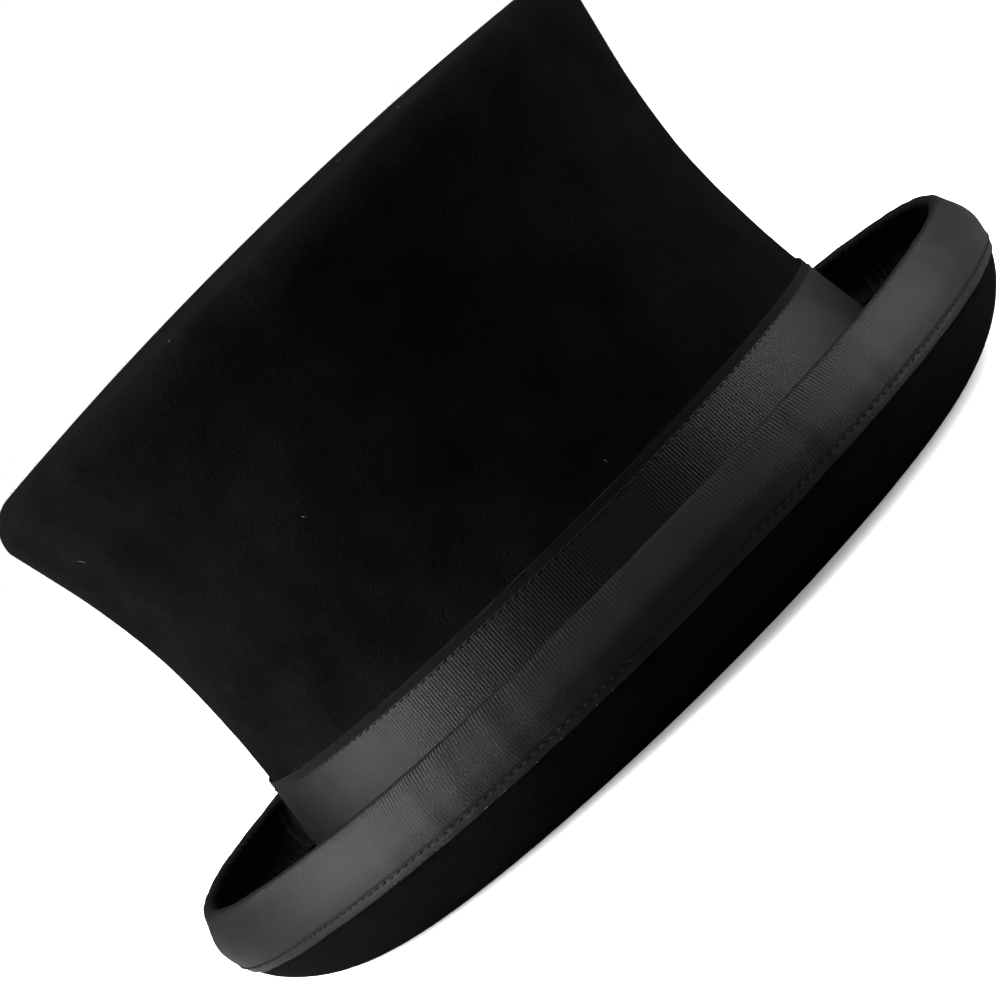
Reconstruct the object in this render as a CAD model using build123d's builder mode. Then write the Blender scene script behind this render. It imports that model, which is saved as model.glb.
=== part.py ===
from build123d import *
from math import cos, radians, sin, tan
import os

# A felt top hat that stands on its brim. Millimetres, +Z up.
# -Y is the front, +Y the back and +X the wearer's left.
# Z = 0 is the surface that the brim rests on, on the vertical axis of the head oval.

# The head oval, at the outside of the felt, level with the band's top edge
half_length = 104.5
half_width = 87.6
narrowness = half_width / half_length
side_extra = 8.0  # how much further the brim's rim stands out at the sides than at the ends
brim_reach = 40.0  # the distance over which the sides gain it

# Felt
crown_felt = 2.8
brim_felt = 3.0
cove_radius = 3.0  # between the brim's upper face and the crown
break_radius = 5.0  # between the brim's lower face and the head opening

# Crown wall, from its foot to its top corner: height, and distance outside the head oval
crown_wall = [
    (0.0, 5.6),
    (10.0, 5.0),
    (20.0, 4.2),
    (32.0, 3.0),
    (43.0, 1.3),
    (53.5, 0.0),
    (64.0, -1.1),
    (75.5, -1.8),
    (87.0, -2.2),
    (99.0, -2.0),
    (112.0, -0.7),
    (126.0, 1.4),
    (140.0, 4.2),
    (153.5, 6.7),
]
tip_corner_radius = 8.0
tip_corner_sweep = 85.0  # degrees, from the wall's top to the dome's edge
dome_rise = 4.8

# Brim: a flat ring that the hat rests on, then a curl in three arcs: radius, and the slope it ends at
brim_flat_out = 12.4
curl_arcs = [(15.0, 18.0), (44.0, 50.0), (27.5, 106.0)]
slope_step = 8.0
rim_top = 39.6
rim_round = 1.2

# Ribbons
air = 0.15  # between a skin and the wall that it lies on
ribbon = 0.7
band_low, band_high = 8.5, 53.5
binding = 0.7
binding_low_outside = 21.0
binding_low_inside = 24.0
binding_first_slope = 50.0  # the brim's slope a little below the binding
seam_margin = 2.6  # from a ribbon's edge to its stitching
thread = 0.5

# Bow on the wearer's left: half lengths along the band
bow_base_half, bow_loop_half, bow_knot_half = 38.0, 31.0, 8.5
bow_low, bow_high = 10.5, 49.5
bow_layer = 3.0
tail_notch = 7.0

# Sweatband and the small pieces round the head opening
leather = 1.2
sweatband_low, sweatband_high = 5.2, 56.0
sweatband_seam_height = 8.0
reed_radius = 1.2
reed_height = 3.6
tape = 0.4
seam_tape_half = 4.0
inner_bow_low, inner_bow_high, inner_bow_half = 6.0, 15.0, 14.0
inner_bow_layer = 2.0
tab_high = 68.0
tab_x = (-34.0, -14.0)

# Lining
satin = 0.5
lining_low, lining_high = 40.0, 152.0
piping_height = 150.0
piping_radius = 0.9
tube_sides = 12  # of the piping and the reed


def wall_out(height):
    """Return how far the crown wall's outer face stands outside the head oval at a height."""
    for (low, low_out), (high, high_out) in zip(crown_wall, crown_wall[1:]):
        if height <= high:
            return low_out + (high_out - low_out) * (height - low) / (high - low)
    return crown_wall[-1][1]


def wall_points(low, high, inset):
    """Return the profile points of the wall between two heights, a given depth inside its outer face."""
    heights = [low] + [z for z, out in crown_wall if low < z < high] + [high]
    return [(half_length + wall_out(z) - inset, z) for z in heights]


def skin_profile(low, high, outer_inset, inner_inset):
    """Return the upright section of a skin that follows the wall between two depths."""
    with BuildSketch(Plane.YZ) as section:
        with BuildLine():
            outer = Spline(wall_points(low, high, outer_inset))
            inner = Spline(wall_points(low, high, inner_inset))
            Line(outer @ 0, inner @ 0)
            Line(outer @ 1, inner @ 1)
        make_face()
    return section.sketch


def crown_profile(inset, foot):
    """Return half the upright section of the whole crown, a given depth inside its outer face."""
    radius = tip_corner_radius - inset
    top = crown_wall[-1][0]
    with BuildSketch(Plane.YZ) as section:
        with BuildLine():
            wall = Spline(wall_points(foot, top, inset))
            corner = JernArc(wall @ 1, (0, 1), radius, tip_corner_sweep)
            reach = (corner @ 1).X
            dome_radius = (reach**2 + dome_rise**2) / (2 * dome_rise)
            dome = RadiusArc(corner @ 1, (0, (corner @ 1).Y + dome_rise), -dome_radius)
            Polyline(dome @ 1, (0, foot), wall @ 0)
        make_face()
    return section.sketch


def oval(z, out):
    """Return the level oval that stands a given distance outside the head oval."""
    extra = side_extra * min(1.0, max(0.0, out) / brim_reach)
    with BuildSketch(Plane.XY.offset(z)) as section:
        Ellipse(half_width + out + extra, half_length + out)
    return section.sketch


def brim_ovals(inset, top, first_slope=0.0):
    """Return the level ovals of the curled brim, a given depth above its lower face, up to a height."""
    out, z, slope = brim_flat_out, 0.0, 0.0
    ovals = [oval(inset, out)] if first_slope == 0 else []
    for radius, arc_end in curl_arcs:
        steps = round((arc_end - slope) / slope_step)
        for step in range(1, steps + 1):
            turned = slope + (arc_end - slope) * step / steps
            reach = out + radius * (sin(radians(turned)) - sin(radians(slope)))
            rise = z + radius * (cos(radians(slope)) - cos(radians(turned)))
            height = rise + inset * cos(radians(turned))
            edge = reach - inset * sin(radians(turned))
            if turned >= first_slope:
                ovals.append(oval(height, edge))
        out, z, slope = reach, rise, arc_end
    ovals.append(oval(top, edge + (top - height) / tan(radians(slope))))
    return ovals


os.makedirs("parts", exist_ok=True)

# Felt body: crown and brim, blocked from one hood
with BuildPart() as crown_core:
    revolve(crown_profile(0, 1.0))
    scale(by=(narrowness, 1, 1))
with BuildPart() as crown_cavity:
    revolve(crown_profile(crown_felt, 0.0))
    scale(by=(narrowness, 1, 1))
with BuildPart() as felt_body:
    loft(brim_ovals(0, rim_top))
    loft(brim_ovals(brim_felt, rim_top + 2), mode=Mode.SUBTRACT)
    add(crown_core.part)
    add(crown_cavity.part, mode=Mode.SUBTRACT)
    foot = felt_body.edges().filter_by_position(Axis.Z, 2.9, 3.1).sort_by(SortBy.LENGTH)[0]
    fillet(foot, radius=cove_radius)
    mouth = felt_body.edges().filter_by_position(Axis.Z, -0.1, 0.1).sort_by(SortBy.LENGTH)[0]
    fillet(mouth, radius=break_radius)
    rim_edges = felt_body.edges().filter_by_position(Axis.Z, rim_top - 0.01, rim_top + 0.01)
    fillet(rim_edges, radius=rim_round)
felt_body.part.label = "felt_body"
export_step(felt_body.part, "parts/felt_body.step")


def skin(low, high, outer_inset, inner_inset):
    """Return a skin that follows the crown wall all round, between two depths."""
    with BuildPart() as ring:
        revolve(skin_profile(low, high, outer_inset, inner_inset))
        scale(by=(narrowness, 1, 1))
    return ring.part


def patch(low, high, outer_inset, inner_inset, x=(-200, 200), y=(-200, 200)):
    """Return the stretch of such a skin that lies inside an upright rectangle."""
    with BuildPart() as stretch:
        add(skin(low, high, outer_inset, inner_inset))
        with BuildSketch(Plane.XY.offset(low - 1)):
            with Locations(((x[0] + x[1]) / 2, (y[0] + y[1]) / 2)):
                Rectangle(x[1] - x[0], y[1] - y[0])
        extrude(amount=high - low + 2, mode=Mode.INTERSECT)
    return stretch.part


def brim_skin(outer_inset, inner_inset, low, high):
    """Return a ring of the curled brim between two depths and two heights."""
    with BuildPart() as ring:
        loft(brim_ovals(outer_inset, rim_top + 1, binding_first_slope))
        loft(brim_ovals(inner_inset, rim_top + 2, binding_first_slope), mode=Mode.SUBTRACT)
        with BuildSketch(Plane.XY.offset(low)):
            Rectangle(3 * half_length, 3 * half_length)
        extrude(amount=high - low, mode=Mode.INTERSECT)
    return ring.part


def oval_tube(height, inset, radius):
    """Return a many-sided tube that follows the crown wall all round."""
    with BuildPart() as tube:
        with BuildSketch(Plane.YZ):
            with Locations((half_length + wall_out(height) - inset, height)):
                RegularPolygon(radius, tube_sides)
        revolve()
        scale(by=(narrowness, 1, 1))
    return tube.part


# Hatband, and its stitching just below the top edge
band_face = air + ribbon
with BuildPart() as hatband:
    add(skin(band_low, band_high, -band_face, -air))
hatband.part.label = "hatband"
export_step(hatband.part, "parts/hatband.step")

with BuildPart() as hatband_thread:
    seam = band_high - seam_margin
    add(skin(seam - thread, seam, -band_face - air - thread, -band_face - air))
hatband_thread.part.label = "hatband_thread"
export_step(hatband_thread.part, "parts/hatband_thread.step")

# Bow on the wearer's left: a flat base with notched tails, folded loops, and the knot round them
left = (0, 2 * half_width)
base_face = band_face + air + ribbon
loop_face = base_face + air + bow_layer
with BuildPart() as bow_base:
    base_span = (-bow_base_half, bow_base_half)
    add(patch(bow_low, bow_high, -base_face, -band_face - air, left, base_span))
    middle = (bow_low + bow_high) / 2
    with BuildSketch(Plane.YZ):
        for side in (-1, 1):
            with BuildLine():
                Polyline(
                    (side * (bow_base_half + 1), bow_low),
                    (side * (bow_base_half + 1), bow_high),
                    (side * (bow_base_half - tail_notch), middle),
                    close=True,
                )
            make_face()
    extrude(amount=2 * half_width, mode=Mode.SUBTRACT)
bow_base.part.label = "bow_base"
export_step(bow_base.part, "parts/bow_base.step")

with BuildPart() as bow_loops:
    loop_span = (-bow_loop_half, bow_loop_half)
    add(patch(bow_low + 1, bow_high - 1, -loop_face, -base_face - air, left, loop_span))
bow_loops.part.label = "bow_loops"
export_step(bow_loops.part, "parts/bow_loops.step")

with BuildPart() as bow_knot:
    knot_span = (-bow_knot_half, bow_knot_half)
    knot_face = loop_face + air + ribbon
    add(patch(bow_low - 1, bow_high + 1, -knot_face, -base_face - air, left, knot_span))
    passage = patch(bow_low + 1 - air, bow_high - 1 + air, -loop_face - air, -base_face, left)
    add(passage, mode=Mode.SUBTRACT)
bow_knot.part.label = "bow_knot"
export_step(bow_knot.part, "parts/bow_knot.step")

# Brim binding: a ribbon folded over the rim, sewn through the felt near its two edges
with BuildPart() as brim_binding:
    inner_face = brim_felt + binding
    add(brim_skin(-binding, inner_face, binding_low_outside, rim_top + binding))
    top_edges = brim_binding.edges().filter_by_position(Axis.Z, rim_top + 0.5, rim_top + 1)
    fillet(top_edges, radius=rim_round)
    add(brim_skin(-air, brim_felt + air, binding_low_outside - 1, rim_top + air), mode=Mode.SUBTRACT)
    below_inner_leaf = brim_skin(
        brim_felt / 2, inner_face + 1, binding_low_outside - 1, binding_low_inside
    )
    add(below_inner_leaf, mode=Mode.SUBTRACT)
brim_binding.part.label = "brim_binding"
export_step(brim_binding.part, "parts/brim_binding.step")

with BuildPart() as binding_thread:
    outer_seam = binding_low_outside + seam_margin
    add(brim_skin(-binding - air - thread, -binding - air, outer_seam - thread, outer_seam))
    inner_seam = binding_low_inside + seam_margin
    inner_face_air = brim_felt + binding + air
    add(brim_skin(inner_face_air, inner_face_air + thread, inner_seam - thread, inner_seam))
binding_thread.part.label = "binding_thread"
export_step(binding_thread.part, "parts/binding_thread.step")

# Lining: a satin wall and a satin oval over the tip, with piping in the seam between them
lining_back = crown_felt + air
lining_face = lining_back + satin
with BuildPart() as lining_side:
    add(skin(lining_low, lining_high, lining_back, lining_face))
lining_side.part.label = "lining_side"
export_step(lining_side.part, "parts/lining_side.step")

with BuildPart() as lining_tip:
    revolve(crown_profile(lining_back, lining_high + air))
    revolve(crown_profile(lining_face, lining_high), mode=Mode.SUBTRACT)
    scale(by=(narrowness, 1, 1))
lining_tip.part.label = "lining_tip"
export_step(lining_tip.part, "parts/lining_tip.step")

with BuildPart() as lining_piping:
    add(oval_tube(piping_height, lining_face + air + piping_radius, piping_radius))
lining_piping.part.label = "lining_piping"
export_step(lining_piping.part, "parts/lining_piping.step")

# Sweatband: a leather strip with a reed at its lower edge, sewn to the felt
sweatband_back = lining_face + air
sweatband_face = sweatband_back + leather
with BuildPart() as sweatband:
    add(skin(sweatband_low, sweatband_high, sweatband_back, sweatband_face))
sweatband.part.label = "sweatband"
export_step(sweatband.part, "parts/sweatband.step")

with BuildPart() as sweatband_reed:
    add(oval_tube(reed_height, crown_felt + 2 * air + reed_radius, reed_radius))
sweatband_reed.part.label = "sweatband_reed"
export_step(sweatband_reed.part, "parts/sweatband_reed.step")

thread_back = sweatband_face + air
with BuildPart() as sweatband_thread:
    lower = sweatband_seam_height - thread
    add(skin(lower, sweatband_seam_height, thread_back, thread_back + thread))
sweatband_thread.part.label = "sweatband_thread"
export_step(sweatband_thread.part, "parts/sweatband_thread.step")

# At the back of the opening: the tape over the sweatband's joint, and a small flat bow at its foot
back = (0, 2 * half_length)
with BuildPart() as sweatband_seam:
    tape_span = (-seam_tape_half, seam_tape_half)
    foot = inner_bow_high + air
    add(patch(foot, sweatband_high - 1, thread_back, thread_back + tape, tape_span, back))
sweatband_seam.part.label = "sweatband_seam"
export_step(sweatband_seam.part, "parts/sweatband_seam.step")

with BuildPart() as sweatband_bow:
    bow_back = thread_back + thread + air
    bow_span = (-inner_bow_half, inner_bow_half)
    bow_front = bow_back + inner_bow_layer
    add(patch(inner_bow_low, inner_bow_high, bow_back, bow_front, bow_span, back))
sweatband_bow.part.label = "sweatband_bow"
export_step(sweatband_bow.part, "parts/sweatband_bow.step")

# A blank woven tab that stands above the sweatband, against the lining
with BuildPart() as size_tab:
    tab_back = lining_face + air
    add(patch(sweatband_high + air, tab_high, tab_back, tab_back + tape, tab_x, back))
size_tab.part.label = "size_tab"
export_step(size_tab.part, "parts/size_tab.step")
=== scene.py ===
from math import atan2, pi, radians

import bmesh
import bpy
import numpy as np
from mathutils import Matrix, Vector


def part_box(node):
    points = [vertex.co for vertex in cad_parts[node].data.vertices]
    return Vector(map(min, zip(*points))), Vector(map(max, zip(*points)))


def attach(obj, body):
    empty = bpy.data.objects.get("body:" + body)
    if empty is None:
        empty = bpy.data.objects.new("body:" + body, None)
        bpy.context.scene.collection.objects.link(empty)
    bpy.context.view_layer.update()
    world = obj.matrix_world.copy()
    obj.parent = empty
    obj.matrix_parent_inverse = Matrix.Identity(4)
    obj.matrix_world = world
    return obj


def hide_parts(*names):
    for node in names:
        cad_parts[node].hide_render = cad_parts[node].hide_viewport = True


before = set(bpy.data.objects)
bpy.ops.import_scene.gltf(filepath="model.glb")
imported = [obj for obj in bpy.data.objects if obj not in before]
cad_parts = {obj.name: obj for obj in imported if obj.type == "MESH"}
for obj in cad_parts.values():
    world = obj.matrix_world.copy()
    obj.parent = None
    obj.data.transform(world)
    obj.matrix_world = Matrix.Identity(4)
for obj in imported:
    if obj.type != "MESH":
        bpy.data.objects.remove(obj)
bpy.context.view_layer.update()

# A felt top hat. Metres, +Z up, -Y the front, +Y the back, +X the wearer's left.
MM = 0.001

# The head oval, at the outside of the felt, level with the band's top edge
HALF_LENGTH = 104.5 * MM
HALF_WIDTH = 87.6 * MM
NARROWNESS = HALF_WIDTH / HALF_LENGTH
SIDE_EXTRA = 8.0 * MM
BRIM_REACH = 40.0 * MM
CROWN_FELT = 2.8 * MM
BRIM_FELT = 3.0 * MM

# Crown wall, from its foot to its top corner: height, and distance outside the head oval, in mm
WALL = np.array([
    (0.0, 5.6), (10.0, 5.0), (20.0, 4.2), (32.0, 3.0), (43.0, 1.3), (53.5, 0.0), (64.0, -1.1),
    (75.5, -1.8), (87.0, -2.2), (99.0, -2.0), (112.0, -0.7), (126.0, 1.5), (140.0, 4.6), (150.0, 6.9),
]) * MM
CORNER_RADIUS = 11.5 * MM
CORNER_SWEEP = radians(85.0)
DOME_RISE = 4.8 * MM
WALL_TOP = WALL[-1, 0]

# Brim: a flat ring, then a curl in three arcs: radius in mm, and the slope it ends at in degrees
FLAT_OUT = 12.4 * MM
CURL_ARCS = [(15.0, 18.0), (44.0, 50.0), (27.5, 106.0)]
RIM_LEAN = 2.7 * MM  # how far the rim is pulled in above its widest point
RIM_SLOPE = CURL_ARCS[-1][1]

# Hand-made unevenness
WALL_WANDER = 0.35 * MM
FELT_LUMPS = 0.12 * MM
COVE_RADIUS = 3.0 * MM
MOUTH_RADIUS = 5.0 * MM

# Ribbons
RIBBON = 0.6 * MM
BOW_RIBBON = 0.5 * MM
TAPE = 0.35 * MM
BAND_FACE = RIBBON + 0.25 * MM  # how far the band's face stands outside the felt
BAND_BACK = 0.2 * MM
BINDING_BACK = 0.06 * MM
BINDING_FOOT_SLOPE = 68.0  # the brim's slope in degrees at the inside leaf's lower edge
BAND_RIBS = 610
BINDING_RIBS = 846
VERTS_PER_RIB = 4
RIB_DEPTH = 0.07 * MM
GROOVE_DEPTH = 0.3 * MM
GROOVE_WIDTH = 0.33 * MM
SEAM_MARGIN = 2.7 * MM
# The binding's inside leaf is painted paler up to this height: painted light on its gathers.
INNER_LEAF = 15.0 * MM  # how far the binding's inside leaf reaches up from its lower edge
RIM_SHARE = 0.46  # where the rim comes, as a share of the binding's width
GATHERS = 210
GATHER_DEPTH = 1.9 * MM
BAND_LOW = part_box("hatband")[0].z
BAND_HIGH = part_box("hatband")[1].z
BINDING_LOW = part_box("brim_binding")[0].z


# --- Curves and noise ---------------------------------------------------------------------------

def smooth(low, high, x):
    """Ease from 0 to 1 as x goes from low to high."""
    t = np.clip((x - low) / (high - low), 0.0, 1.0)
    return t * t * (3.0 - 2.0 * t)


def spline(xs, ys, x):
    """A smooth curve through a few points: Catmull-Rom, evaluated at x."""
    slopes = np.gradient(ys, xs)
    i = np.clip(np.searchsorted(xs, x) - 1, 0, len(xs) - 2)
    span = xs[i + 1] - xs[i]
    t = (x - xs[i]) / span
    return (
        (2 * t**3 - 3 * t**2 + 1) * ys[i]
        + (t**3 - 2 * t**2 + t) * span * slopes[i]
        + (3 * t**2 - 2 * t**3) * ys[i + 1]
        + (t**3 - t**2) * span * slopes[i + 1]
    )


def wander(turn, count, seed):
    """Smooth periodic noise from -1 to 1 round a full turn (0 to 1), with count bumps."""
    values = np.random.default_rng(seed).uniform(-1.0, 1.0, count)
    x = np.mod(turn, 1.0) * count
    i = np.floor(x).astype(int)
    t = x - i
    t = t * t * (3.0 - 2.0 * t)
    return values[i % count] * (1 - t) + values[(i + 1) % count] * t


def wall_out(height):
    """How far the crown wall's outer face stands outside the head oval."""
    return spline(WALL[:, 0], WALL[:, 1], np.asarray(height, float))


def wall_profile(low, high, inset, count):
    """Points (out, z) up the crown wall, a given depth inside its outer face."""
    z = np.linspace(low, high, count)
    return np.stack([wall_out(z) - inset, z], axis=1)


def crown_top_profile(inset, corner_count, dome_count):
    """Points (out, z) from the wall's top over the corner to the middle of the tip."""
    radius = CORNER_RADIUS - inset
    centre = WALL[-1, 1] - CORNER_RADIUS
    angle = np.linspace(0.0, CORNER_SWEEP, corner_count)
    corner = np.stack([centre + radius * np.cos(angle), WALL_TOP + radius * np.sin(angle)], axis=1)
    share = np.linspace(1.0, 0.0, dome_count + 1)[1:]
    out = (HALF_LENGTH + corner[-1, 0]) * share - HALF_LENGTH
    dome = np.stack([out, corner[-1, 1] + DOME_RISE * (1 - share**2)], axis=1)
    return np.concatenate([corner, dome])


def curl_point(slope, inset):
    """Point (out, z) of the curled brim where its lower face has this slope in degrees."""
    out, z, start = FLAT_OUT, 0.0, 0.0
    for radius, end in CURL_ARCS:
        turned = min(slope, end) if end < RIM_SLOPE else slope
        if turned > start:
            out += radius * MM * (np.sin(radians(turned)) - np.sin(radians(start)))
            z += radius * MM * (np.cos(radians(start)) - np.cos(radians(turned)))
        start = end
        if slope <= end:
            break
    return out - inset * np.sin(radians(slope)), z + inset * np.cos(radians(slope))


def curl_profile(first, last, inset, count):
    """Points (out, z) along the curled brim between two slopes."""
    return np.array([curl_point(s, inset) for s in np.linspace(first, last, count)])


def rim_profile(margin, count):
    """Points (out, z) over the rim's rolled edge, a margin outside the felt."""
    middle = np.array(curl_point(RIM_SLOPE, BRIM_FELT / 2))
    radius = BRIM_FELT / 2 + margin
    angle = np.linspace(radians(RIM_SLOPE - 90), radians(RIM_SLOPE + 90), count)
    return middle + radius * np.stack([np.cos(angle), np.sin(angle)], axis=1)


def fillet_profile(centre, radius, first, last, count):
    """Points (out, z) on an arc, between two angles in degrees."""
    angle = np.radians(np.linspace(first, last, count))
    return np.array(centre) + radius * np.stack([np.cos(angle), np.sin(angle)], axis=1)


def half_axes(out, z):
    """Half width and half length of the level oval through a profile point."""
    extra = SIDE_EXTRA * np.clip(out / BRIM_REACH, 0.0, 1.0)
    brim = smooth(5.5 * MM, 13.0 * MM, out) * (1 - smooth(44 * MM, 50 * MM, z))
    crown_width = NARROWNESS * (HALF_LENGTH + out)
    return crown_width * (1 - brim) + (HALF_WIDTH + out + extra) * brim, HALF_LENGTH + out


def even_turns(count, out=0.0, z=0.06):
    """Angles round an oval that are evenly spaced along its edge, starting at the back."""
    fine = np.linspace(0.0, 2 * pi, 20001)
    a, b = half_axes(np.array(out), np.array(z))
    steps = np.hypot(np.diff(a * np.sin(fine)), np.diff(b * np.cos(fine)))
    length = np.concatenate([[0.0], np.cumsum(steps)])
    return np.interp(np.arange(count) / count * length[-1], length, fine), length[-1]


def place(out, z, angle):
    """Point of the hat at a profile point and an angle from the back, towards the wearer's left."""
    a, b = half_axes(out, z)
    return np.stack([a * np.sin(angle), b * np.cos(angle), z + 0 * angle], axis=-1)


# --- Meshes -------------------------------------------------------------------------------------

def grid_object(name, points, round_u=True, round_v=False, uv=None):
    """A mesh from a grid of points, closed round u and v as asked, shaded smooth."""
    nu, nv = points.shape[:2]
    index = np.arange(nu * nv).reshape(nu, nv)
    across = np.concatenate([index, index[:1]]) if round_u else index
    across = np.concatenate([across, across[:, :1]], axis=1) if round_v else across
    corners = [across[:-1, :-1], across[1:, :-1], across[1:, 1:], across[:-1, 1:]]
    faces = np.stack(corners, axis=-1).reshape(-1, 4)
    mesh = bpy.data.meshes.new(name)
    mesh.vertices.add(nu * nv)
    mesh.vertices.foreach_set("co", points.reshape(-1).astype(np.float32))
    mesh.loops.add(faces.size)
    mesh.loops.foreach_set("vertex_index", faces.reshape(-1).astype(np.int32))
    mesh.polygons.add(len(faces))
    mesh.polygons.foreach_set("loop_start", np.arange(0, faces.size, 4, dtype=np.int32))
    if uv is not None:
        layer = mesh.uv_layers.new(name="UVMap")
        layer.data.foreach_set("uv", uv.reshape(-1, 2)[faces.reshape(-1)].astype(np.float32).reshape(-1))
    mesh.update()
    mesh.validate()
    mesh.shade_smooth()
    thing = bpy.data.objects.new(name, mesh)
    bpy.context.scene.collection.objects.link(thing)
    return thing


def finish_piece(thing, material, slot, *nodes):
    """Give a piece its material and its body, and hide the CAD nodes that it stands for. Its slot is not
    used.
    """
    thing.data.materials.append(material)
    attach(thing, "root")
    if nodes:
        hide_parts(*nodes)
    return thing


def close_ends(thing):
    """Cap the open ends of a strip and turn its faces outwards."""
    work = bmesh.new()
    work.from_mesh(thing.data)
    bmesh.ops.remove_doubles(work, verts=work.verts, dist=1e-7)
    edges = [e for e in work.edges if e.is_boundary]
    if edges:
        bmesh.ops.holes_fill(work, edges=edges, sides=0)
    bmesh.ops.recalc_face_normals(work, faces=work.faces)
    work.to_mesh(thing.data)
    work.free()
    thing.data.shade_smooth()
    return thing


# --- Materials ----------------------------------------------------------------------------------

def new_material(name):
    """A material with an empty Principled shader; returns the material, its nodes and its links."""
    material = bpy.data.materials.new(name)
    material.use_nodes = True
    return material, material.node_tree.nodes, material.node_tree.links


def add_node(nodes, kind, **values):
    """Add a node and set its properties or, where it has none by that name, its inputs."""
    node = nodes.new(kind)
    for key, value in values.items():
        if hasattr(node, key):
            setattr(node, key, value)
        else:
            node.inputs[key.replace("_", " ")].default_value = value
    return node


def ramp(nodes, low, high, dark, light):
    """A colour ramp between two grey or coloured stops."""
    node = nodes.new("ShaderNodeValToRGB")
    node.color_ramp.elements[0].position = low
    node.color_ramp.elements[1].position = high
    node.color_ramp.elements[0].color = (*dark, 1)
    node.color_ramp.elements[1].color = (*light, 1)
    return node


def cloth(
    name, dark, light, speckle_scale, bump, roughness, specular, sheen, sheen_roughness,
    weave=None, strip=None,
):
    """A fibrous cloth: mottled colour, fine bump and sheen, with a woven cross-thread where asked.

    strip, for a strip along a ribbon's first edge, holds its width, the width of the soft border
    between it and the rest, its colour and its roughness. On the binding, the strip's pale colour
    is painted light on the inside leaf's gathers; on the band, it is the selvedge's own darker colour.
    """
    material, nodes, links = new_material(name)
    shader = nodes["Principled BSDF"]
    shader.inputs["Specular IOR Level"].default_value = specular
    shader.inputs["Sheen Weight"].default_value = sheen
    shader.inputs["Sheen Roughness"].default_value = sheen_roughness
    shader.inputs["Sheen Tint"].default_value = (1, 1, 1, 1)
    place_at = add_node(nodes, "ShaderNodeTexCoord")
    speckle = add_node(nodes, "ShaderNodeTexNoise", Scale=speckle_scale, Detail=6.0, Roughness=0.7)
    patches = add_node(nodes, "ShaderNodeTexNoise", Scale=45.0, Detail=3.0, Roughness=0.55)
    links.new(place_at.outputs["Object"], speckle.inputs["Vector"])
    links.new(place_at.outputs["Object"], patches.inputs["Vector"])
    blend = add_node(nodes, "ShaderNodeMath", operation="MULTIPLY")
    links.new(speckle.outputs["Fac"], blend.inputs[0])
    links.new(patches.outputs["Fac"], blend.inputs[1])
    colour = ramp(nodes, 0.12, 0.42, dark, light)
    links.new(blend.outputs[0], colour.inputs["Fac"])
    links.new(colour.outputs["Color"], shader.inputs["Base Color"])
    spread = add_node(nodes, "ShaderNodeMapRange")
    spread.inputs["To Min"].default_value = roughness - 0.06
    spread.inputs["To Max"].default_value = roughness + 0.05
    links.new(speckle.outputs["Fac"], spread.inputs["Value"])
    links.new(spread.outputs["Result"], shader.inputs["Roughness"])
    if strip:
        width, border, strip_colour, strip_roughness = strip
        edge_uv = add_node(nodes, "ShaderNodeUVMap", uv_map="UVMap")
        axes = add_node(nodes, "ShaderNodeSeparateXYZ")
        links.new(edge_uv.outputs["UV"], axes.inputs[0])
        inside = add_node(nodes, "ShaderNodeMapRange", interpolation_type="SMOOTHSTEP")
        inside.inputs["From Min"].default_value = width - border / 2
        inside.inputs["From Max"].default_value = width + border / 2
        links.new(axes.outputs["Y"], inside.inputs["Value"])
        # On the binding, the strip's colour is painted light: it makes the inside leaf paler, as if lit.
        tint = add_node(nodes, "ShaderNodeMix", data_type="RGBA")
        tint.inputs[6].default_value = (*strip_colour, 1)
        links.new(inside.outputs["Result"], tint.inputs[0])
        links.new(colour.outputs["Color"], tint.inputs[7])
        links.new(tint.outputs[2], shader.inputs["Base Color"])
        dull = add_node(nodes, "ShaderNodeMix", data_type="FLOAT")
        dull.inputs[2].default_value = strip_roughness
        links.new(inside.outputs["Result"], dull.inputs[0])
        links.new(spread.outputs["Result"], dull.inputs[3])
        links.new(dull.outputs[0], shader.inputs["Roughness"])
    height = speckle.outputs["Fac"]
    if weave:
        uv = add_node(nodes, "ShaderNodeUVMap", uv_map="UVMap")
        direction, scale, weight = weave
        threads = add_node(
            nodes, "ShaderNodeTexWave", bands_direction=direction, Scale=scale, Distortion=0.6,
        )
        threads.inputs["Detail Scale"].default_value = 3.0
        links.new(uv.outputs["UV"], threads.inputs["Vector"])
        mixed = add_node(nodes, "ShaderNodeMath", operation="MULTIPLY_ADD")
        mixed.inputs[1].default_value = weight
        links.new(threads.outputs["Fac"], mixed.inputs[0])
        links.new(speckle.outputs["Fac"], mixed.inputs[2])
        height = mixed.outputs[0]
    relief = add_node(nodes, "ShaderNodeBump", Strength=bump[0], Distance=bump[1])
    links.new(height, relief.inputs["Height"])
    links.new(relief.outputs["Normal"], shader.inputs["Normal"])
    return material


FELT = cloth(
    "wool_felt", (0.0, 0.0, 0.0), (0.0022, 0.0022, 0.0024), 1000.0, (1.0, 0.0009),
    0.93, 0.009, 0.004, 0.5,
)
GROSGRAIN = cloth(
    "grosgrain_ribbon", (0.0002, 0.0002, 0.0002), (0.0026, 0.0026, 0.0029), 1300.0, (0.7, 0.0002),
    0.44, 0.09, 0.005, 0.3, weave=("Y", 2600.0, 0.16),
)
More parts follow.
